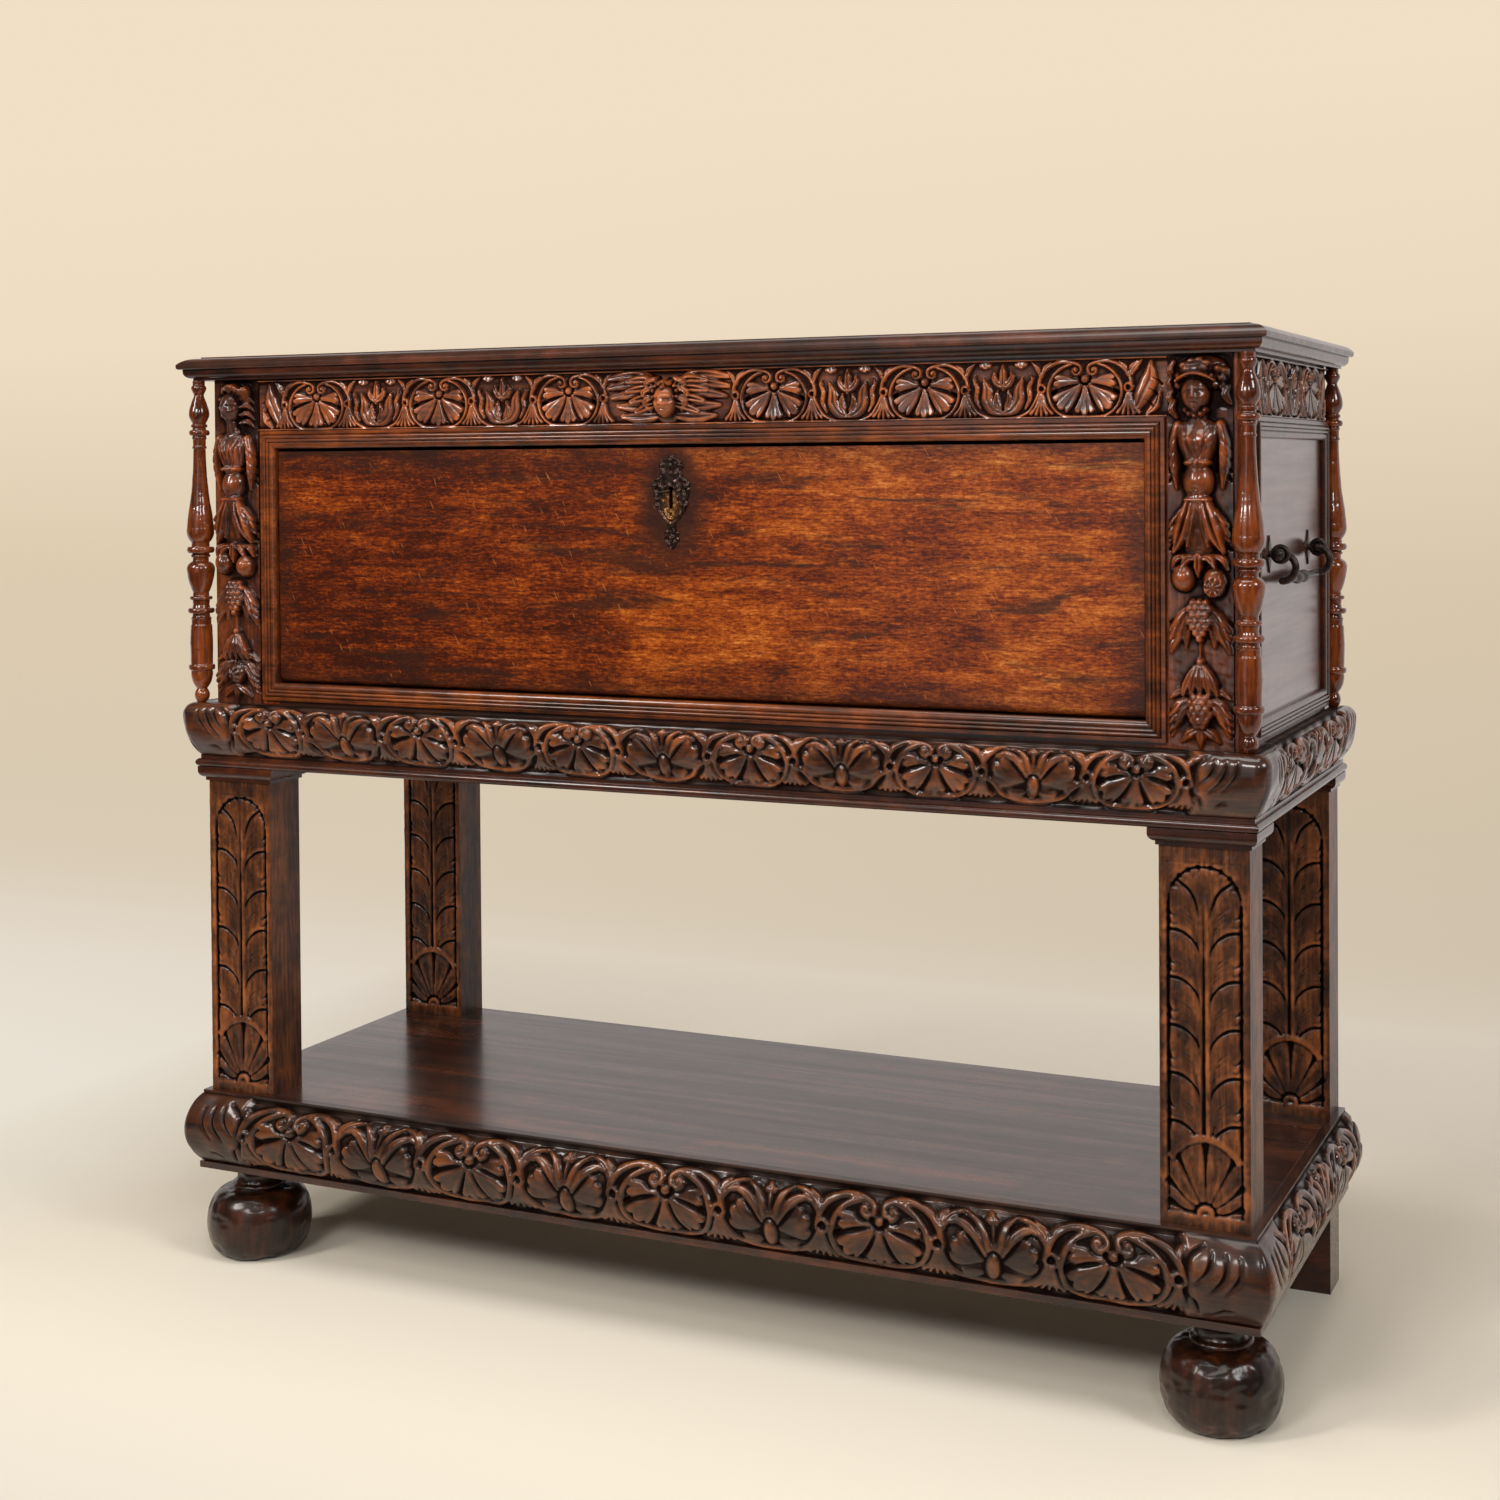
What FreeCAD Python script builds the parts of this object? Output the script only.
import FreeCAD, Part
import math
import os

# A carved fall-front cabinet on an open stand. Millimetres, +Z up, +Y to the back.
# The origin is on the floor under the middle of the cabinet.

V = FreeCAD.Vector

# Stand, measured over the legs
stand_width = 1344.0
stand_depth = 464.0
leg_width = 96.0
front_leg_depth = 56.0
rear_leg_depth = 53.0
leg_height = 396.0
leg_tenon_width = 56.0
leg_tenon_depth = 26.0
leg_panel_border = 9.0
leg_panel_foot = 14.0
leg_panel_head = 20.0
leg_panel_sink = 2.5

# Shelf and its torus rails
shelf_setout = 8.0
shelf_thick = 22.0
shelf_lip_width = 12.0
shelf_lip_edge = 4.0
shelf_rail_height = 91.0
shelf_rail_thick = 30.0
shelf_bulge = 20.0
shelf_back_rail_thick = 20.0
fillet_height = 8.0
fillet_overhang = 4.0

# Bun feet: inset of the centre from the legs' outer faces, and the turned shape
foot_height = 114.0
foot_inset_side = 41.0
foot_inset_front = 38.0
foot_ball_radius = 65.0
foot_ball_height = 82.0
foot_flat_radius = 38.0
foot_collar_radius = 36.0
foot_collar_height = 8.0
foot_neck_radius = 26.0
foot_shoulder_radius = 30.0
foot_shoulder_height = 6.0
foot_tenon_radius = 13.0
foot_tenon_length = 60.0
foot_block_width = 90.0

# Capitals and the thin board on them
capital_height = 18.5
capital_overhang = 10.0
capital_base_step = 3.0
capital_base_height = 4.0
capital_fillet_height = 6.0
stand_top_thick = 14.5
stand_top_overhang = 12.0
stand_top_bead_height = 10.0

# Plinth, the torus moulding under the case
plinth_height = 67.5
plinth_bulge = 26.0
plinth_shoulder = 14.0
plinth_foot_setout = 8.0
plinth_thick = 40.0
plinth_seat_edge = 16.0
plinth_back_thick = 24.0
bottom_thick = 20.0

# Case, measured over the side boards
case_width = 1336.0
case_depth = 440.0
case_height = 408.5
case_setback = 4.0
corner_rebate = 8.0
frame_thick = 24.0
side_thick = 22.0
back_thick = 18.0
rear_rebate_length = 36.0
rear_rebate_depth = 12.0
rail_tenon_length = 38.0
rail_tenon_thick = 8.0
rail_tenon_shoulder = 5.0

# Opening and its moulding
opening_sill = 27.0
moulding_width = 22.0
moulding_projection = 8.0
moulding_term_gap = 3.5

# Frieze, terms and cherub
frieze_height = 62.0
frieze_thick = 6.0
frieze_gap = 1.0
frieze_head_gap = 2.0
term_width = 68.0
term_edge_gap = 4.0
term_ground = 4.0
cherub_head_radius = 21.0
cherub_head_drop = 6.0
cherub_wing_span = 150.0
cherub_wing_height = 44.0
cherub_wing_thick = 3.0

# Masses of a term from its foot up, as shares of the half width and of the case's height:
# the widest place, its level, the waist above it and the waist's level
term_foot = (0.12, 0.015)
term_masses = [(0.56, 0.07, 0.2, 0.15), (0.36, 0.185, 0.2, 0.235), (0.64, 0.32, 0.3, 0.385),
               (0.68, 0.44, 0.34, 0.5), (0.62, 0.605, 0.46, 0.635), (0.7, 0.79, 0.26, 0.835),
               (0.56, 0.915, 0.2, 0.985)]

# Side panels
side_moulding_margin = 2.0
side_base_gap = 5.0

# Balusters: place of the axis, then radii and heights of the turned members
baluster_setout = 6.0
baluster_front_setout = 13.0
baluster_rear_inset = 16.0
baluster_ball = 9.6
baluster_ball_height = 14.0
baluster_seat = 5.0
baluster_cup = 14.0
baluster_cup_height = 25.0
baluster_ring = 16.5
baluster_ring_height = 7.0
baluster_drum = 13.0
baluster_drum_height = 65.0
baluster_neck = 9.0
baluster_neck_height = 12.0
baluster_urn = 17.5
baluster_urn_height = 42.0
baluster_disc = 18.0
baluster_disc_height = 6.0
baluster_vase = 17.0
baluster_vase_swell = 26.0
baluster_column = 7.5
baluster_column_height = 18.0
baluster_collar = 12.5
baluster_collar_height = 9.0
baluster_pear = 13.0
baluster_pear_height = 42.0
baluster_cap = 7.5
baluster_cap_height = 11.0

# Cornice and top
cornice_height = 14.0
cornice_foot = 10.0
cornice_head = 19.0
cornice_fillet = 3.0
top_thick = 16.0
top_overhang = 25.0
top_thumb = 22.0
top_step = 2.0
top_thumb_swell = 3.0
top_nosing_height = 6.0

# Flap
flap_setback = 1.0
flap_side_gap = 1.5
flap_bottom_gap = 1.5
flap_top_gap = 4.0
pivot_inset = 8.0
pivot_radius = 4.0
pivot_clearance = 0.05
pivot_in_flap = 30.0
pivot_in_stile = 20.0
pivot_end_play = 2.0
stop_overlap = 12.0
stop_width = 35.0
stop_thick = 14.0
stop_rise = 30.0

# Quadrant stays, arcs about the pivot
stay_radius = 130.0
stay_gap = 4.0
stay_width = 10.0
stay_thick = 4.0
stay_plate_thick = 3.0
stay_plate_width = 28.0
stay_plate_height = 60.0
stay_stop_radius = 2.5
stay_stop_length = 11.0
stay_stop_play = 0.3
stay_tail = 3.0
guide_clearance = 1.0
guide_wall = 5.0
guide_thick = 6.0
guide_gap = 2.0

# Lock
lock_width = 90.0
lock_height = 92.0
lock_depth = 14.0
lock_wall = 3.0
bolt_width = 28.0
bolt_thick = 6.0
bolt_length = 60.0
bolt_clearance = 0.3
bolt_sink = 1.0
bolt_travel = 12.0
strike_width = 64.0
strike_depth = 14.0
strike_thick = 2.0
strike_clearance = 1.5
keyhole_drop = 43.0
keyhole_radius = 5.0
keyhole_slot = 7.0
keyhole_height = 28.0

# Escutcheon
escutcheon_thick = 2.5
escutcheon_width = 50.0
escutcheon_height = 108.0
escutcheon_drop = 9.0
nail_head_radius = 2.6
nail_head_height = 1.6
nail_shank_radius = 1.0
nail_shank_length = 10.0
# Nails, across and down, as shares of the escutcheon's width and height: crown, two ears and pendant
nail_shares = [(0, 0.1), (-0.36, 0.42), (0.36, 0.42), (0, 0.9)]

# Side handles
handle_span = 200.0
handle_shift = -16.0
handle_height = 198.0
handle_standoff = 13.0
bail_radius = 4.0
bail_arm_radius = 14.5
bail_grip_radius = 7.0
bail_grip_length = 64.0
bail_ball_radius = 6.5
eye_tube_radius = 3.2
eye_clearance = 0.4
eye_side_gap = 1.0
eye_shank_radius = 3.5
eye_nut_size = 14.0
eye_nut_thick = 5.0
plate_height = 40.0
plate_width = 26.0
plate_thick = 1.8
plate_waist = 0.42

# Levels, from the floor up
fillet_top = foot_height + fillet_height
shelf_top = fillet_top + shelf_rail_height
shelf_under = shelf_top - shelf_thick
leg_top = shelf_top + leg_height
capital_top = leg_top + capital_height
stand_top_level = capital_top + stand_top_thick
plinth_top = stand_top_level + plinth_height
case_top = plinth_top + case_height
cornice_top = case_top + cornice_height

# Planes, from the middle outwards and from front to back
leg_side = stand_width / 2
front_reach = max(shelf_setout + shelf_bulge, plinth_bulge, top_overhang)
leg_front = front_reach - (stand_depth + front_reach) / 2
leg_back = leg_front + stand_depth
leg_inner = leg_side - leg_width
lip_side = leg_side + shelf_setout
lip_front = leg_front - shelf_setout
rail_inner = lip_side - shelf_rail_thick
case_side = case_width / 2
case_front = leg_front + case_setback
case_back = case_front + case_depth
frame_back = case_front + frame_thick
stile_outer = case_side - corner_rebate
side_inner = case_side - side_thick

# Frieze and terms
frieze_top = case_top - frieze_head_gap
frieze_bottom = frieze_top - frieze_height
frieze_face = case_front - frieze_thick
term_outer = stile_outer - term_edge_gap
term_inner = term_outer - term_width
frieze_half = term_inner - frieze_gap

# Opening and flap
opening_half = term_inner - moulding_term_gap - moulding_width
opening_bottom = plinth_top + opening_sill
opening_top = frieze_bottom - frieze_gap - moulding_width
flap_half = opening_half - flap_side_gap
flap_front = case_front + flap_setback
flap_bottom = opening_bottom + flap_bottom_gap
flap_top = opening_top - flap_top_gap
pivot_y = flap_front + pivot_inset
pivot_z = flap_bottom + pivot_inset
lock_front = frame_back - lock_depth
bolt_middle = lock_front + lock_depth / 2

# Handles
handle_x = case_side + handle_standoff
handle_y = (case_front + case_back) / 2 + handle_shift
handle_z = plinth_top + handle_height
eye_ring_radius = bail_radius + eye_clearance + eye_tube_radius
bail_arm_inset = eye_tube_radius + eye_side_gap + bail_radius


def box(x0, x1, y0, y1, z0, z1):
    return Part.makeBox(x1 - x0, y1 - y0, z1 - z0, V(x0, y0, z0))


def rod(radius, start, end):
    return Part.makeCylinder(radius, (end - start).Length, start, end - start)


def outline(points, place):
    """A closed face; an entry is a point, or (middle, end) of an arc from the point before it."""
    edges = []
    here = points[0]
    for entry in points[1:] + [points[0]]:
        if isinstance(entry[0], tuple):
            middle, end = entry
            edges.append(Part.Arc(place(here), place(middle), place(end)).toShape())
            here = end
        elif math.dist(here, entry) > 1e-6:
            edges.append(Part.LineSegment(place(here), place(entry)).toShape())
            here = entry
    return Part.Face(Part.Wire(edges))


def upright_arc(start, end):
    """The arc from start to end that is vertical at end, as an outline entry."""
    return (upright_middle(start, end), end)


def upright_middle(tip, level):
    """Middle of the arc between tip and level that runs vertically at level."""
    dr = tip[0] - level[0]
    dz = tip[1] - level[1]
    radius = -(dr * dr + dz * dz) / (2 * dr)
    centre = level[0] - radius
    sweep = V((dr + radius) / abs(radius) + math.copysign(1, radius), dz / abs(radius), 0).normalize()
    return (centre + abs(radius) * sweep.x, level[1] + abs(radius) * sweep.y)


def swell(profile, widest, widest_z, end, end_z):
    """Adds a swelling or a hollow: two arcs that meet vertically at the widest or narrowest place."""
    profile.append(upright_arc(last_point(profile), (widest, widest_z)))
    profile.append((upright_middle((end, end_z), (widest, widest_z)), (end, end_z)))


def ring(profile, radius, height):
    """Adds a half-round ring that stands on the present radius."""
    r, z = last_point(profile)
    profile.append(((radius, z + height / 2), (r, z + height)))


def last_point(profile):
    entry = profile[-1]
    return entry[1] if isinstance(entry[0], tuple) else entry


def turned(profile, x, y, angle=360.0, start=0.0):
    """Turns a profile of (radius, level) about an upright axis at x, y."""
    face = outline(profile, lambda p: V(p[0], 0, p[1]))
    face.rotate(V(0, 0, 0), V(0, 0, 1), start)
    solid = face.revolve(V(0, 0, 0), V(0, 0, 1), angle)
    solid.translate(V(x, y, 0))
    return solid


def mirrored(shape):
    return shape.mirror(V(0, 0, 0), V(1, 0, 0))


def prism_between(points, bottom, top):
    face = outline(points, lambda p: V(p[0], p[1], bottom))
    return face.extrude(V(0, 0, top - bottom))


def front_run(section, side, front, deep, reach, bottom, top):
    """A front moulding, mitred at both ends; section is (outward from front, level)."""
    far = side + reach
    bar = outline(section, lambda p: V(-far, front - p[0], p[1])).extrude(V(2 * far, 0, 0))
    mitre = [(-far, front - reach), (far, front - reach), (side - deep, front + deep),
             (deep - side, front + deep)]
    return bar.common(prism_between(mitre, bottom, top))


def side_run(section, side, front, back, deep, reach, bottom, top):
    """The right-hand moulding that meets front_run at its mitre and ends square at the back."""
    near = front - reach
    bar = outline(section, lambda p: V(side + p[0], near, p[1])).extrude(V(0, back - near, 0))
    mitre = [(side + reach, near), (side + reach, back), (side - deep, back), (side - deep, front + deep)]
    return bar.common(prism_between(mitre, bottom, top))


def moulded_board(edge, left, right, front, back, bottom, moulded_back):
    """A board whose front and sides (and back) have one moulded edge: (inset, height) from the nosing."""
    def flipped(entry, turn):
        if isinstance(entry[0], tuple):
            return tuple(turn(p) for p in entry)
        return turn(entry)

    def reversed_edge(turn):
        points = [turn(last_point([e])) for e in edge]
        out = [points[-1]]
        for i in range(len(edge) - 1, 0, -1):
            if isinstance(edge[i][0], tuple):
                out.append((turn(edge[i][0]), points[i - 1]))
            else:
                out.append(points[i - 1])
        return out

    height = last_point(edge)[1]
    across = [flipped(e, lambda p: (right - p[0], bottom + p[1])) for e in edge]
    across += reversed_edge(lambda p: (left + p[0], bottom + p[1]))
    along = [flipped(e, lambda p: (front + p[0], bottom + p[1])) for e in edge]
    if moulded_back:
        along += reversed_edge(lambda p: (back - p[0], bottom + p[1]))
    else:
        along += [(back, bottom + height), (back, bottom)]
    slab = outline(across, lambda p: V(p[0], front, p[1])).extrude(V(0, back - front, 0))
    return slab.common(outline(along, lambda p: V(left, p[0], p[1])).extrude(V(right - left, 0, 0)))


def moulding_section(width, projection):
    """Reeded frame moulding: an ovolo at the inner edge, two reeds and an outer fillet."""
    w, p = width, projection
    return [(0, 0), (0, 0.4 * p), ((0.1 * w, 0.7 * p), (0.32 * w, 0.8 * p)), (0.34 * w, 0.6 * p),
            (0.37 * w, 0.6 * p), ((0.455 * w, 0.95 * p), (0.54 * w, 0.6 * p)), (0.57 * w, 0.6 * p),
            ((0.655 * w, p), (0.74 * w, 0.6 * p)), (0.77 * w, 0.45 * p), (0.8 * w, 0.7 * p),
            (w, 0.7 * p), (w, 0)]


def frame_strips(x0, x1, z0, z1, width, projection):
    """Four mitred strips round a rectangle in the plane y = 0, standing out towards -Y."""
    def strip(length):
        place = lambda p: V(-width, -p[1], -p[0])
        bar = outline(moulding_section(width, projection), place).extrude(V(length + 2 * width, 0, 0))
        ends = [(0, 0), (length, 0), (length + width, -width), (-width, -width)]
        return bar.common(outline(ends, lambda p: V(p[0], -projection, p[1])).extrude(V(0, projection, 0)))

    strips = []
    runs = ((0, x1 - x0, x0, z0), (-90, z1 - z0, x1, z0), (180, x1 - x0, x1, z1), (90, z1 - z0, x0, z1))
    for turn, length, x, z in runs:
        piece = strip(length)
        piece.rotate(V(0, 0, 0), V(0, 1, 0), turn)
        piece.translate(V(x, 0, z))
        strips.append(piece)
    return strips


def keyhole(y0, y1):
    """The keyhole as a solid: a round head over a slot."""
    top = flap_top - keyhole_drop
    head = rod(keyhole_radius, V(0, y0, top - keyhole_radius), V(0, y1, top - keyhole_radius))
    slot = box(-keyhole_slot / 2, keyhole_slot / 2, y0, y1, top - keyhole_height, top - keyhole_radius)
    return head.fuse(slot)


def shelf_section():
    inner = -shelf_rail_thick
    edge = shelf_top - shelf_lip_edge
    middle = (edge + fillet_top) / 2
    return [(inner, fillet_top), (0, fillet_top), ((shelf_bulge, middle), (0, edge)), (0, shelf_top),
            (-shelf_lip_width, shelf_top), (-shelf_lip_width, shelf_under), (inner, shelf_under)]


def shelf():
    section = shelf_section()
    deep, reach = shelf_rail_thick, shelf_bulge
    levels = (fillet_top, shelf_top)
    right = side_run(section, lip_side, lip_front, leg_back, deep, reach, *levels)
    board = box(shelf_lip_width - lip_side, lip_side - shelf_lip_width, lip_front + shelf_lip_width, leg_back,
                shelf_under, shelf_top)
    for x, y in leg_centres():
        board = board.cut(leg_tenon(x, y, shelf_under, shelf_top))
    strip = [(-shelf_rail_thick, foot_height), (fillet_overhang, foot_height), (fillet_overhang, fillet_top),
             (-shelf_rail_thick, fillet_top)]
    strip_levels = (foot_height, fillet_top)
    strip_right = side_run(strip, lip_side, lip_front, leg_back, deep, fillet_overhang, *strip_levels)
    strip_front = front_run(strip, lip_side, lip_front, deep, fillet_overhang, *strip_levels)
    back = box(-leg_inner, leg_inner, leg_back - shelf_back_rail_thick, leg_back, fillet_top, shelf_under)
    return {"shelf_board": [board],
            "shelf_rail_front": [front_run(section, lip_side, lip_front, deep, reach, *levels)],
            "shelf_rail_left": [mirrored(right)],
            "shelf_rail_right": [right],
            "shelf_rail_back": [back],
            "shelf_fillet": [strip_front, strip_right, mirrored(strip_right)]}


def feet():
    x = leg_side - foot_inset_side
    y = leg_front + foot_inset_front
    profile = [(0, 0), (foot_flat_radius, 0)]
    profile.append(((foot_ball_radius, foot_ball_height / 2), (foot_flat_radius, foot_ball_height)))
    profile.append((foot_shoulder_radius, foot_ball_height))
    ring(profile, foot_collar_radius, foot_collar_height)
    shoulder = foot_height - foot_shoulder_height
    neck = (foot_ball_height + foot_collar_height + shoulder) / 2
    profile.append(((foot_neck_radius, neck), (foot_shoulder_radius, shoulder)))
    profile.append((foot_shoulder_radius, foot_height))
    profile.append((foot_tenon_radius, foot_height))
    profile.append((foot_tenon_radius, foot_height + foot_tenon_length))
    profile.append((0, foot_height + foot_tenon_length))
    bun = turned(profile, x, y)
    block_front = lip_front + shelf_rail_thick
    block = box(rail_inner - foot_block_width, rail_inner, block_front, block_front + foot_block_width,
                foot_height, shelf_under)
    block = block.cut(rod(foot_tenon_radius, V(x, y, foot_height), V(x, y, foot_height + foot_tenon_length)))
    rear_front = leg_back - rear_leg_depth
    rear = box(leg_inner, leg_side, rear_front, leg_back, 0, foot_height)
    upper = box(leg_inner, rail_inner, rear_front, leg_back, foot_height, shelf_under)
    rear = rear.fuse(upper).removeSplitter()
    return {"bun_foot_left": [mirrored(bun)], "bun_foot_right": [bun], "foot_blocks": [mirrored(block), block],
            "rear_foot_left": [mirrored(rear)], "rear_foot_right": [rear]}


def leg_places():
    """Name, side, front face and depth of each leg."""
    rear_front = leg_back - rear_leg_depth
    return [("front_left", -1, leg_front, front_leg_depth), ("front_right", 1, leg_front, front_leg_depth),
            ("rear_left", -1, rear_front, rear_leg_depth), ("rear_right", 1, rear_front, rear_leg_depth)]


def leg_centres():
    return [(side * (leg_side - leg_width / 2), front + depth / 2) for name, side, front, depth in leg_places()]


def leg_tenon(x, y, bottom, top):
    half, deep = leg_tenon_width / 2, leg_tenon_depth / 2
    return box(x - half, x + half, y - deep, y + deep, bottom, top)


def leg(x, front, depth):
    """A leg with tenons through the shelf and the stand's top, and a sunk arched panel in front."""
    half = leg_width / 2
    body = box(x - half, x + half, front, front + depth, shelf_top, leg_top)
    body = body.fuse(leg_tenon(x, front + depth / 2, shelf_under, stand_top_level)).removeSplitter()
    arch = half - leg_panel_border
    foot = shelf_top + leg_panel_foot
    spring = leg_top - leg_panel_head - arch
    panel = [(x - arch, foot), (x + arch, foot), (x + arch, spring), ((x, spring + arch), (x - arch, spring))]
    sunk = outline(panel, lambda p: V(p[0], front, p[1])).extrude(V(0, leg_panel_sink, 0))
    return body.cut(sunk)


def capital(x, front, depth, back_limit):
    """A moulded collar on a leg: base step, hollow and fillet, with a hole for the tenon."""
    step, over = capital_base_step, capital_overhang
    start = (over - step, capital_base_height)
    head = (0, capital_height - capital_fillet_height)
    edge = [(over - step, 0), start, (upright_middle(start, head), head), (0, capital_height)]
    half = leg_width / 2 + over
    collar = moulded_board(edge, x - half, x + half, front - over, front + depth + over, leg_top, True)
    collar = collar.common(box(x - half, x + half, front - over, min(back_limit, front + depth + over),
                               leg_top, capital_top))
    return collar.cut(leg_tenon(x, front + depth / 2, leg_top, capital_top))


def legs():
    nodes = {"capitals_front": [], "capitals_rear": []}
    for name, side, front, depth in leg_places():
        x = side * (leg_side - leg_width / 2)
        nodes["leg_" + name] = [leg(x, front, depth)]
        nodes["capitals_" + name.split("_")[0]].append(capital(x, front, depth, leg_back))
    inset = stand_top_bead_height / 2
    edge = [(inset, 0), ((0, inset), (inset, stand_top_bead_height)), (inset, stand_top_thick)]
    board = moulded_board(edge, -leg_side - stand_top_overhang, leg_side + stand_top_overhang,
                          leg_front - stand_top_overhang, leg_back, capital_top, False)
    for x, y in leg_centres():
        board = board.cut(leg_tenon(x, y, capital_top, stand_top_level))
    nodes["stand_top"] = [board]
    return nodes


def plinth_section():
    """Torus with its fullest place just under the ledge, drawn in towards its foot."""
    foot = (plinth_foot_setout, stand_top_level)
    full = (plinth_bulge, plinth_top - plinth_shoulder)
    flat = plinth_bulge - plinth_shoulder
    turn = plinth_shoulder * math.sqrt(0.5)
    shoulder_middle = (flat + turn, full[1] + turn)
    seat = plinth_top - bottom_thick
    return [(-plinth_thick, stand_top_level), foot, upright_arc(foot, full),
            (shoulder_middle, (flat, plinth_top)), (-plinth_seat_edge, plinth_top),
            (-plinth_seat_edge, seat), (-plinth_thick, seat)]


def plinth():
    section = plinth_section()
    levels = (stand_top_level, plinth_top)
    right = side_run(section, leg_side, leg_front, case_back, plinth_thick, plinth_bulge, *levels)
    seat_side = leg_side - plinth_seat_edge
    inner = leg_side - plinth_thick
    seat = plinth_top - bottom_thick
    back = box(-inner, inner, case_back - plinth_back_thick, case_back, stand_top_level, seat)
    board = box(-seat_side, seat_side, leg_front + plinth_seat_edge, case_back, seat, plinth_top)
    return {"plinth_front": [front_run(section, leg_side, leg_front, plinth_thick, plinth_bulge, *levels)],
            "plinth_left": [mirrored(right)], "plinth_right": [right], "plinth_back": [back],
            "case_bottom": [board]}


def pivot_bore(radius, side):
    reach = opening_half + pivot_in_stile + pivot_end_play
    return rod(radius, V(side * opening_half, pivot_y, pivot_z), V(side * reach, pivot_y, pivot_z))


def rail_tenon(side, bottom, top):
    middle = case_front + frame_thick / 2
    ends = sorted((side * opening_half, side * (opening_half + rail_tenon_length)))
    return box(ends[0], ends[1], middle - rail_tenon_thick / 2, middle + rail_tenon_thick / 2,
               bottom + rail_tenon_shoulder, top - rail_tenon_shoulder)


def bolt_mortise(clearance, bottom, top):
    half = bolt_width / 2 + clearance
    deep = bolt_thick / 2 + clearance
    return box(-half, half, bolt_middle - deep, bolt_middle + deep, bottom, top)


def strike_seat():
    half, deep = strike_width / 2, strike_depth / 2
    return box(-half, half, bolt_middle - deep, bolt_middle + deep, opening_top, opening_top + strike_thick)


def carcass():
    right_stile = box(opening_half, stile_outer, case_front, frame_back, plinth_top, case_top)
    right_stile = right_stile.cut(rail_tenon(1, opening_top, case_top))
    right_stile = right_stile.cut(rail_tenon(1, plinth_top, opening_bottom))
    right_stile = right_stile.cut(pivot_bore(pivot_radius + pivot_clearance, 1))
    rails = {}
    for name, bottom, top in (("rail_bottom", plinth_top, opening_bottom), ("rail_top", opening_top, case_top)):
        rail = box(-opening_half, opening_half, case_front, frame_back, bottom, top)
        for side in (-1, 1):
            rail = rail.fuse(rail_tenon(side, bottom, top))
        rails[name] = rail.removeSplitter()
    bolt_top = opening_top + bolt_travel + strike_clearance
    rails["rail_top"] = rails["rail_top"].cut(strike_seat())
    rails["rail_top"] = rails["rail_top"].cut(bolt_mortise(strike_clearance, opening_top, bolt_top))
    strike = strike_seat().cut(bolt_mortise(strike_clearance, opening_top, bolt_top))
    board = box(side_inner, case_side, frame_back, case_back, plinth_top, case_top)
    board = board.cut(box(case_side - rear_rebate_depth, case_side, case_back - rear_rebate_length, case_back,
                          plinth_top, case_top))
    for y in handle_eye_places():
        board = board.cut(rod(eye_shank_radius, V(side_inner, y, handle_z), V(case_side, y, handle_z)))
    back_front = case_back - back_thick
    seam = (plinth_top + cornice_top) / 2
    planks = [box(-side_inner, side_inner, back_front, case_back, plinth_top, seam),
              box(-side_inner, side_inner, back_front, case_back, seam, cornice_top)]
    return {"stile_left": [mirrored(right_stile)], "stile_right": [right_stile],
            "rail_bottom": [rails["rail_bottom"]], "rail_top": [rails["rail_top"]], "strike_plate": [strike],
            "case_side_left": [mirrored(board)], "case_side_right": [board], "back_planks": planks}


def mouldings():
    front = frame_strips(-opening_half, opening_half, opening_bottom, opening_top, moulding_width,
                         moulding_projection)
    for strip in front:
        strip.translate(V(0, case_front, 0))
    near, far = side_panel_ends()
    panel_bottom = plinth_top + side_base_gap + moulding_width
    panel_top = frieze_bottom - frieze_gap - moulding_width
    side = frame_strips(near + moulding_width, far - moulding_width, panel_bottom, panel_top, moulding_width,
                        moulding_projection)
    for strip in side:
        strip.rotate(V(0, 0, 0), V(0, 0, 1), 90)
        strip.translate(V(case_side, 0, 0))
    return {"opening_moulding": front, "side_moulding_left": [mirrored(strip) for strip in side],
            "side_moulding_right": side}


def side_panel_ends():
    return frame_back + side_moulding_margin, case_back - rear_rebate_length - side_moulding_margin


def friezes():
    near, far = side_panel_ends()
    front = box(-frieze_half, frieze_half, frieze_face, case_front, frieze_bottom, frieze_top)
    side = box(case_side, case_side + frieze_thick, near, far, frieze_bottom, frieze_top)
    return {"frieze_front": [front], "frieze_left": [mirrored(side)], "frieze_right": [side]}


def cherub():
    """A half-round head between two spread wings, on the face of the frieze."""
    middle = (frieze_bottom + frieze_top) / 2
    centre = V(0, frieze_face, middle - cherub_head_drop)
    half = box(-cherub_head_radius, cherub_head_radius, frieze_face - cherub_head_radius, frieze_face,
               centre.z - cherub_head_radius, centre.z + cherub_head_radius)
    head = Part.makeSphere(cherub_head_radius, centre).common(half)
    tip, rise = cherub_wing_span / 2, cherub_wing_height / 2
    wing = [(0, middle - 0.3 * rise), ((0.5 * tip, middle - rise), (tip, middle - 0.2 * rise)),
            ((0.8 * tip, middle + 0.8 * rise), (0.4 * tip, middle + 0.9 * rise)),
            ((0.15 * tip, middle + 0.75 * rise), (0, middle + 0.3 * rise))]
    right = outline(wing, lambda p: V(p[0], frieze_face, p[1])).extrude(V(0, -cherub_wing_thick, 0))
    return {"cherub_mask": [head.fuse([right, mirrored(right)]).removeSplitter()]}


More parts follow.
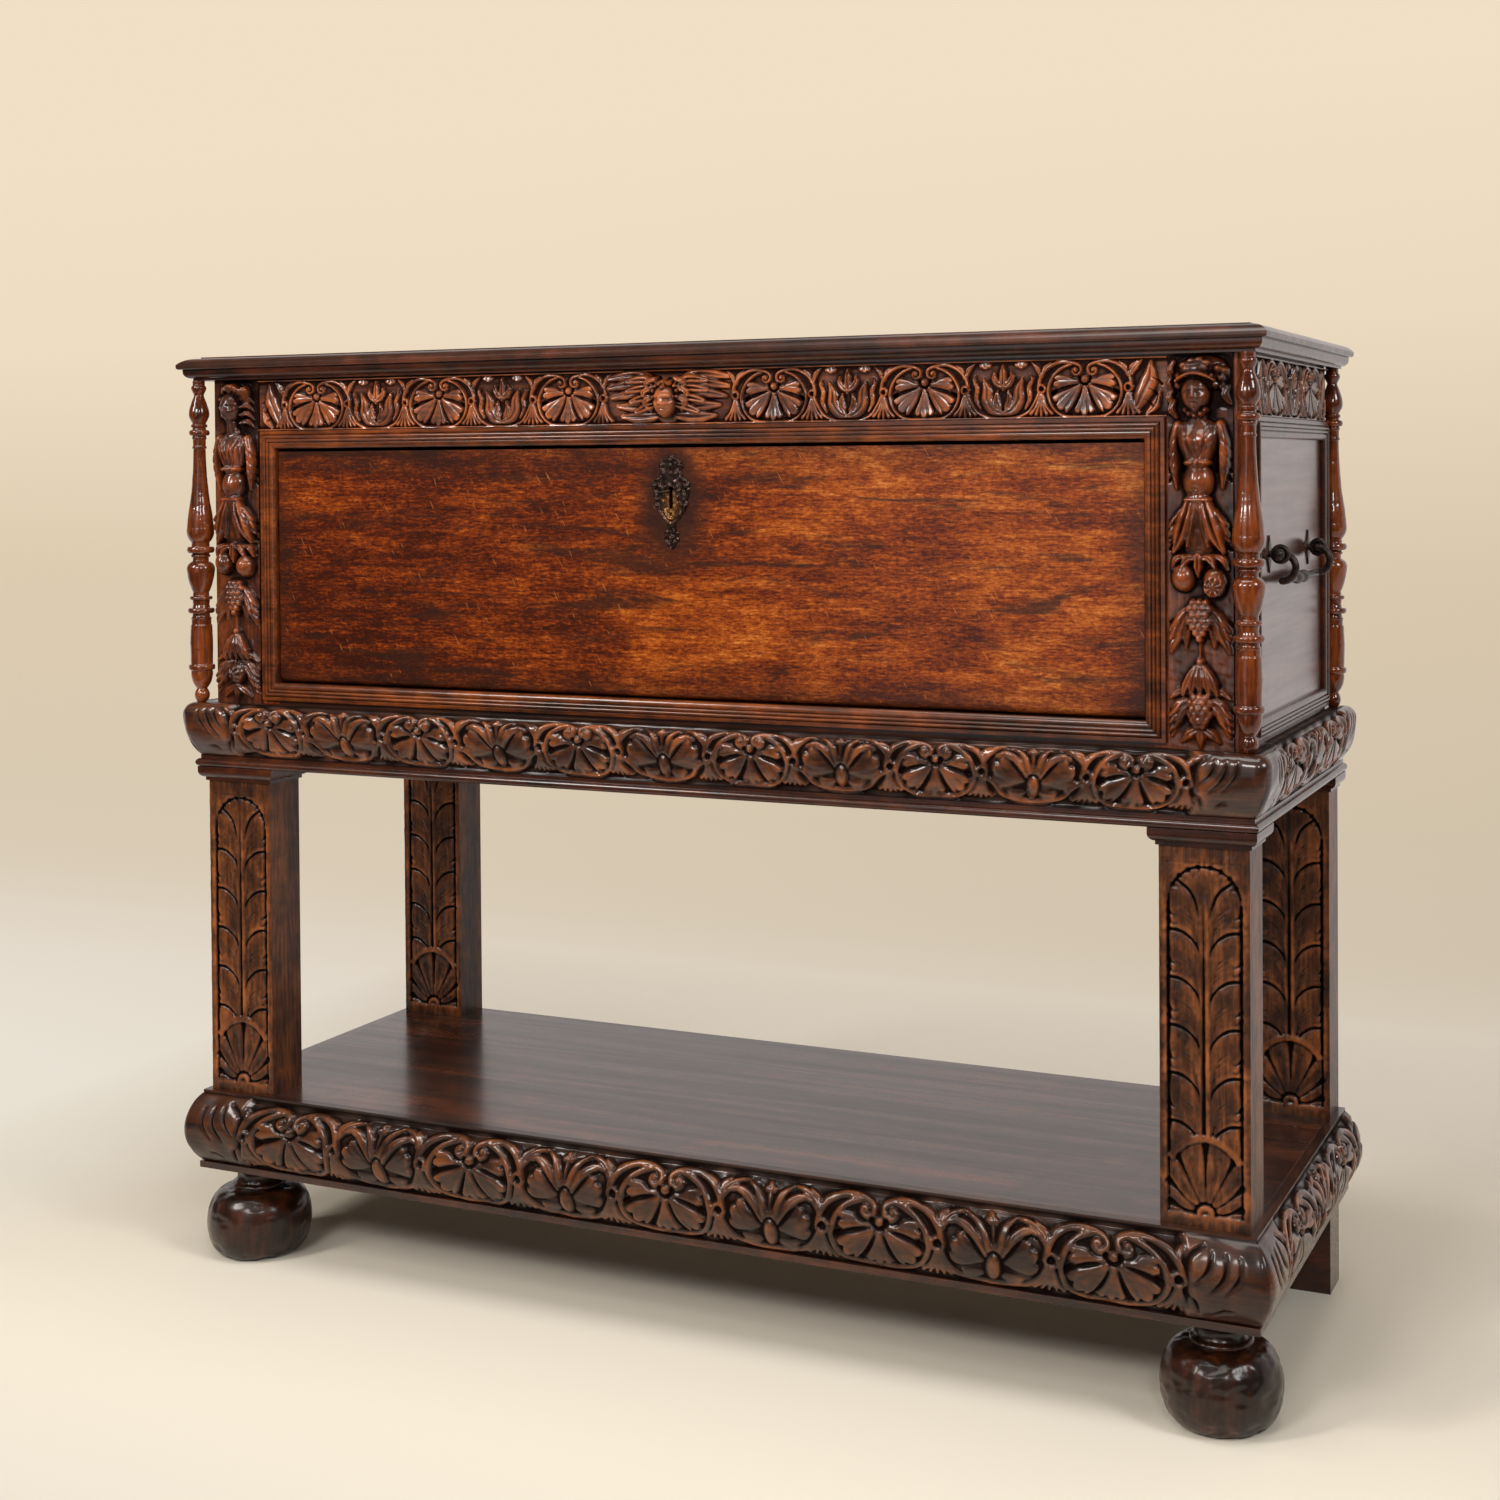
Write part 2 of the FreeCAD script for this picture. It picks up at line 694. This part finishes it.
def term_profile():
    """Half-round masses of a term from its foot up: bud, husk, leaves, fruit, skirt, torso and head."""
    share = lambda part: plinth_top + part * case_height
    wide = term_width / 2
    profile = [(0, share(term_foot[1])), (term_foot[0] * wide, share(term_foot[1]))]
    for full, level, end, end_level in term_masses:
        swell(profile, full * wide, share(level), end * wide, share(end_level))
    profile.append((0, last_point(profile)[1]))
    return profile


def terms():
    ground = case_front - term_ground
    board = box(term_inner, term_outer, ground, case_front, plinth_top, case_top)
    figure = turned(term_profile(), (term_inner + term_outer) / 2, ground, 180, 180)
    term = board.fuse(figure).removeSplitter()
    return {"term_left": [mirrored(term)], "term_right": [term]}


def baluster_profile():
    """Turned members from the seat up; the long vase takes the height that the others leave."""
    z = plinth_top
    profile = [(0, z), (baluster_seat, z)]
    z += baluster_ball_height
    swell(profile, baluster_ball, z - baluster_ball_height / 2, baluster_seat, z)
    profile.append((baluster_neck, z))
    z += baluster_cup_height
    profile.append(upright_arc(last_point(profile), (baluster_cup, z)))
    ring(profile, baluster_ring, baluster_ring_height)
    z += baluster_ring_height
    profile.append((baluster_drum, z))
    z += baluster_drum_height
    profile.append((baluster_drum, z))
    ring(profile, baluster_ring, baluster_ring_height)
    z += baluster_ring_height + baluster_neck_height
    swell(profile, baluster_neck, z - baluster_neck_height / 2, baluster_column + baluster_seat / 2, z)
    z += baluster_urn_height
    swell(profile, baluster_urn, z - baluster_urn_height / 3, baluster_column + baluster_seat / 2, z)
    z += baluster_neck_height
    swell(profile, baluster_neck, z - baluster_neck_height / 2, baluster_column + baluster_seat / 2, z)
    ring(profile, baluster_disc, baluster_disc_height)
    z += baluster_disc_height
    profile.append(upright_arc(last_point(profile), (baluster_vase, z + baluster_vase_swell)))
    crown = plinth_top + case_height - baluster_cap_height
    pear = crown - baluster_pear_height
    collar = pear - baluster_collar_height
    column = collar - baluster_column_height
    full = last_point(profile)
    profile.append((upright_middle((baluster_column, column), full), (baluster_column, column)))
    profile.append((baluster_column, collar))
    ring(profile, baluster_collar, baluster_collar_height)
    swell(profile, baluster_pear, pear + baluster_pear_height / 3, baluster_seat, crown)
    ring(profile, baluster_cap, baluster_cap_height / 3)
    profile.append(((baluster_cap, crown + 2 * baluster_cap_height / 3), (baluster_seat, case_top)))
    profile.append((0, case_top))
    return profile


def balusters():
    nodes = {}
    x = case_side + baluster_setout
    for end, y in (("front", case_front - baluster_front_setout), ("rear", case_back - baluster_rear_inset)):
        right = turned(baluster_profile(), x, y)
        nodes["baluster_" + end + "_right"] = [right]
        nodes["baluster_" + end + "_left"] = [mirrored(right)]
    return nodes


def top():
    low, high = case_top, cornice_top
    deep = leg_side - side_inner
    start = (cornice_foot, low + cornice_fillet)
    head = (cornice_head, high - cornice_fillet)
    section = [(-deep, low), (cornice_foot, low), start, upright_arc(start, head), (cornice_head, high),
               (-deep, high)]
    right = side_run(section, leg_side, leg_front, case_back, deep, cornice_head, low, high)
    front = front_run(section, leg_side, leg_front, deep, cornice_head, low, high)
    nosing = top_nosing_height / 2
    nosing_turn = nosing * (1 - math.sqrt(0.5))
    crest = top_thick - top_step
    rise = crest - top_nosing_height
    lift = top_thumb_swell / math.hypot(top_thumb, rise)
    crest_middle = (top_thumb / 2 - lift * rise, top_nosing_height + rise / 2 + lift * top_thumb)
    edge = [(nosing, 0), ((nosing_turn, nosing_turn), (0, nosing)), (0, top_nosing_height),
            (crest_middle, (top_thumb, crest)), (top_thumb, top_thick)]
    board = moulded_board(edge, -leg_side - top_overhang, leg_side + top_overhang, leg_front - top_overhang,
                          case_back, cornice_top, False)
    return {"cornice": [front, right, mirrored(right)], "top_board": [board]}


def lock_room():
    half = lock_width / 2
    return box(-half, half, lock_front, frame_back, flap_top - lock_height, flap_top)


def flap():
    section = [(frame_back, flap_bottom), (frame_back, flap_top), (flap_front, flap_top), (flap_front, pivot_z),
               ((pivot_y - pivot_inset * math.sqrt(0.5), pivot_z - pivot_inset * math.sqrt(0.5)),
                (pivot_y, flap_bottom))]
    board = outline(section, lambda p: V(-flap_half, p[0], p[1])).extrude(V(2 * flap_half, 0, 0))
    board = board.cut(lock_room())
    board = board.cut(keyhole(flap_front, lock_front))
    pins = []
    for side in (-1, 1):
        inner = V(side * (flap_half - pivot_in_flap), pivot_y, pivot_z)
        board = board.cut(rod(pivot_radius, inner, V(side * flap_half, pivot_y, pivot_z)))
        pins.append(rod(pivot_radius, inner, V(side * (opening_half + pivot_in_stile), pivot_y, pivot_z)))
    for x, z in nail_places():
        board = board.cut(nail_shank(x, z))
    return {"fall_front": [board], "pivot_pins": pins}


def nail_places():
    """Four nails, in the crown, the two ears and the pendant of the escutcheon."""
    top_z = flap_top - escutcheon_drop
    return [(across * escutcheon_width, top_z - down * escutcheon_height) for across, down in nail_shares]


def nail_shank(x, z):
    return rod(nail_shank_radius, V(x, flap_front - escutcheon_thick, z),
               V(x, flap_front - escutcheon_thick + nail_shank_length, z))


def escutcheon():
    """A shield with a crown above and a leaf pendant below, nailed to the flap."""
    face = flap_front - escutcheon_thick
    top_z = flap_top - escutcheon_drop
    w = escutcheon_width
    level = lambda part: top_z - part * escutcheon_height
    half = [(0, level(0)), ((0.17 * w, level(0.03)), (0.2 * w, level(0.11))),
            ((0.42 * w, level(0.12)), (0.4 * w, level(0.24))),
            ((0.3 * w, level(0.29)), (0.38 * w, level(0.34))),
            ((0.5 * w, level(0.42)), (0.4 * w, level(0.52))),
            ((0.34 * w, level(0.64)), (0.16 * w, level(0.7))),
            ((0.24 * w, level(0.8)), (0.12 * w, level(0.9))), (0, level(1))]
    right = outline(half, lambda p: V(p[0], face, p[1])).extrude(V(0, escutcheon_thick, 0))
    plate = right.fuse(mirrored(right)).removeSplitter().cut(keyhole(face, flap_front))
    nails = []
    for x, z in nail_places():
        plate = plate.cut(nail_shank(x, z))
        bulge = (nail_head_radius * math.sqrt(0.5), -nail_head_height * math.sqrt(0.5))
        dome = [(0, -nail_head_height), (bulge, (nail_head_radius, 0)), (nail_shank_radius, 0),
                (nail_shank_radius, nail_shank_length), (0, nail_shank_length)]
        nail = outline(dome, lambda p: V(x + p[0], face + p[1], z))
        nails.append(nail.revolve(V(x, face, z), V(0, 1, 0), 360))
    return {"lock_escutcheon": [plate], "escutcheon_nails": nails}


def lock():
    case = lock_room()
    bolt_top = flap_top - bolt_sink
    bolt_bottom = bolt_top - bolt_length
    case = case.cut(bolt_mortise(bolt_clearance, bolt_bottom - bolt_clearance, flap_top))
    case = case.cut(keyhole(lock_front, lock_front + lock_wall))
    return {"lock_case": [case], "lock_bolt": [bolt_mortise(0, bolt_bottom, bolt_top)]}


def on_arc(radius, angle):
    """A point about the flap's pivot; the angle runs from upright towards the back."""
    turn = math.radians(angle)
    return (pivot_y + radius * math.sin(turn), pivot_z + radius * math.cos(turn))


def stays():
    strip_inner = flap_half - stop_overlap
    outer = strip_inner - stay_gap
    inner = outer - stay_thick
    plate_back = frame_back + stay_plate_thick
    guide_front = plate_back + guide_gap
    guide_back = guide_front + guide_thick
    stop_reach = guide_back - pivot_y + stay_stop_radius
    stop_angle = 90 + math.degrees(math.asin(stop_reach / stay_radius))
    stop_angle += math.degrees(stay_stop_play / stay_radius)
    end_angle = stop_angle + math.degrees(stay_tail / stay_radius)
    first_angle = math.degrees(math.asin((plate_back - pivot_y) / stay_radius))
    near, far = stay_radius - stay_width / 2, stay_radius + stay_width / 2
    middle_angle = (first_angle + end_angle) / 2
    band = [on_arc(near, first_angle), (on_arc(near, middle_angle), on_arc(near, end_angle)),
            on_arc(far, end_angle), (on_arc(far, middle_angle), on_arc(far, first_angle))]
    arm = outline(band, lambda p: V(inner, p[0], p[1])).extrude(V(stay_thick, 0, 0))
    plate_z = pivot_z + stay_radius - stay_plate_height / 2
    plate = box(outer - stay_plate_width, outer, frame_back, plate_back, plate_z, plate_z + stay_plate_height)
    y, z = on_arc(stay_radius, stop_angle)
    middle = (inner + outer) / 2
    stop = rod(stay_stop_radius, V(middle - stay_stop_length / 2, y, z), V(middle + stay_stop_length / 2, y, z))
    root_y, root_z = on_arc(stay_radius, first_angle)
    root = box(inner, outer, plate_back, root_y + stay_plate_thick, root_z - stay_width / 2,
               root_z + stay_width / 2)
    right = plate.fuse([arm, stop, root]).removeSplitter()
    slot_rise = stay_width / 2 + guide_clearance
    slot_y = (guide_front + guide_back) / 2 - pivot_y
    slot_z = pivot_z + math.sqrt(stay_radius ** 2 - slot_y ** 2)
    drift = guide_thick * slot_y / stay_radius
    guide = box(inner - guide_clearance - guide_wall, strip_inner, guide_front, guide_back,
                slot_z - slot_rise - drift - guide_wall, slot_z + slot_rise + drift + guide_wall)
    guide = guide.cut(box(inner - guide_clearance, outer + guide_clearance, guide_front, guide_back,
                          slot_z - slot_rise - drift, slot_z + slot_rise + drift))
    strip = box(strip_inner, strip_inner + stop_width, frame_back, frame_back + stop_thick,
                pivot_z + stop_rise, opening_top)
    return {"stays": [mirrored(right), right], "stay_guides": [mirrored(guide), guide],
            "stop_strips": [mirrored(strip), strip]}


def handle_eye_places():
    return (handle_y - handle_span / 2, handle_y + handle_span / 2)


def bail():
    """The right-hand bail: ball ends, pins through the eyes, bowed arms and a turned grip."""
    pieces = []
    low = handle_z - 2 * bail_arm_radius
    arms = []
    for side, eye in zip((-1, 1), handle_eye_places()):
        arm_y = eye - side * bail_arm_inset
        ball_y = eye + side * (eye_tube_radius + eye_side_gap + bail_ball_radius)
        arms.append(arm_y)
        pieces.append(rod(bail_radius, V(handle_x, arm_y, handle_z), V(handle_x, ball_y, handle_z)))
        pieces.append(Part.makeSphere(bail_ball_radius, V(handle_x, ball_y, handle_z)))
        section = Part.Face(Part.Wire(Part.makeCircle(bail_radius, V(handle_x, arm_y, handle_z), V(1, 0, 0))))
        centre = V(handle_x, arm_y, handle_z - bail_arm_radius)
        pieces.append(section.revolve(centre, V(0, 1, 0), 180))
        pieces.append(Part.makeSphere(bail_radius, V(handle_x, arm_y, handle_z)))
        pieces.append(Part.makeSphere(bail_radius, V(handle_x, arm_y, low)))
    pieces.append(rod(bail_radius, V(handle_x, arms[0], low), V(handle_x, arms[1], low)))
    quarter = bail_grip_length / 4
    profile = [(0, -2 * quarter), (bail_radius, -2 * quarter)]
    swell(profile, bail_grip_radius, -quarter, bail_radius, 0)
    swell(profile, bail_grip_radius, quarter, bail_radius, 2 * quarter)
    profile.append((0, 2 * quarter))
    grip = outline(profile, lambda p: V(handle_x + p[0], handle_y + p[1], low))
    pieces.append(grip.revolve(V(handle_x, handle_y, low), V(0, 1, 0), 360))
    return pieces[0].fuse(pieces[1:]).removeSplitter()


def handles():
    eyes = []
    plates = []
    for y in handle_eye_places():
        ring_shape = Part.makeTorus(eye_ring_radius, eye_tube_radius, V(handle_x, y, handle_z), V(0, 1, 0))
        shank = rod(eye_shank_radius, V(side_inner - eye_nut_thick, y, handle_z),
                    V(handle_x - eye_ring_radius, y, handle_z))
        half = eye_nut_size / 2
        nut = box(side_inner - eye_nut_thick, side_inner, y - half, y + half, handle_z - half, handle_z + half)
        eyes.append(ring_shape.fuse([shank, nut]).removeSplitter())
        high, wide = plate_height / 2, plate_width / 2
        corners = [(0, high), (wide, 0), (0, -high), (-wide, 0)]
        star = [corners[0]]
        for here, there in zip(corners, corners[1:] + corners[:1]):
            star.append((((here[0] + there[0]) * plate_waist, (here[1] + there[1]) * plate_waist), there))
        plate = outline(star, lambda p: V(case_side, y + p[0], handle_z + p[1])).extrude(V(plate_thick, 0, 0))
        hole = rod(eye_shank_radius, V(case_side, y, handle_z), V(case_side + plate_thick, y, handle_z))
        plates.append(plate.cut(hole))
    right = bail()
    return {"handle_bail_left": [mirrored(right)], "handle_bail_right": [right],
            "handle_eyes": eyes + [mirrored(e) for e in eyes],
            "handle_plates": plates + [mirrored(p) for p in plates]}


os.makedirs("parts", exist_ok=True)
sections = (shelf, feet, legs, plinth, carcass, mouldings, friezes, cherub, terms, balusters, top, flap,
            escutcheon, lock, stays, handles)
for make in sections:
    for node, solids in make().items():
        shape = solids[0] if len(solids) == 1 else Part.makeCompound(solids)
        shape.exportStep("parts/" + node + ".step")
        print(node, len(shape.Solids), round(shape.Volume / 1000), shape.isValid())
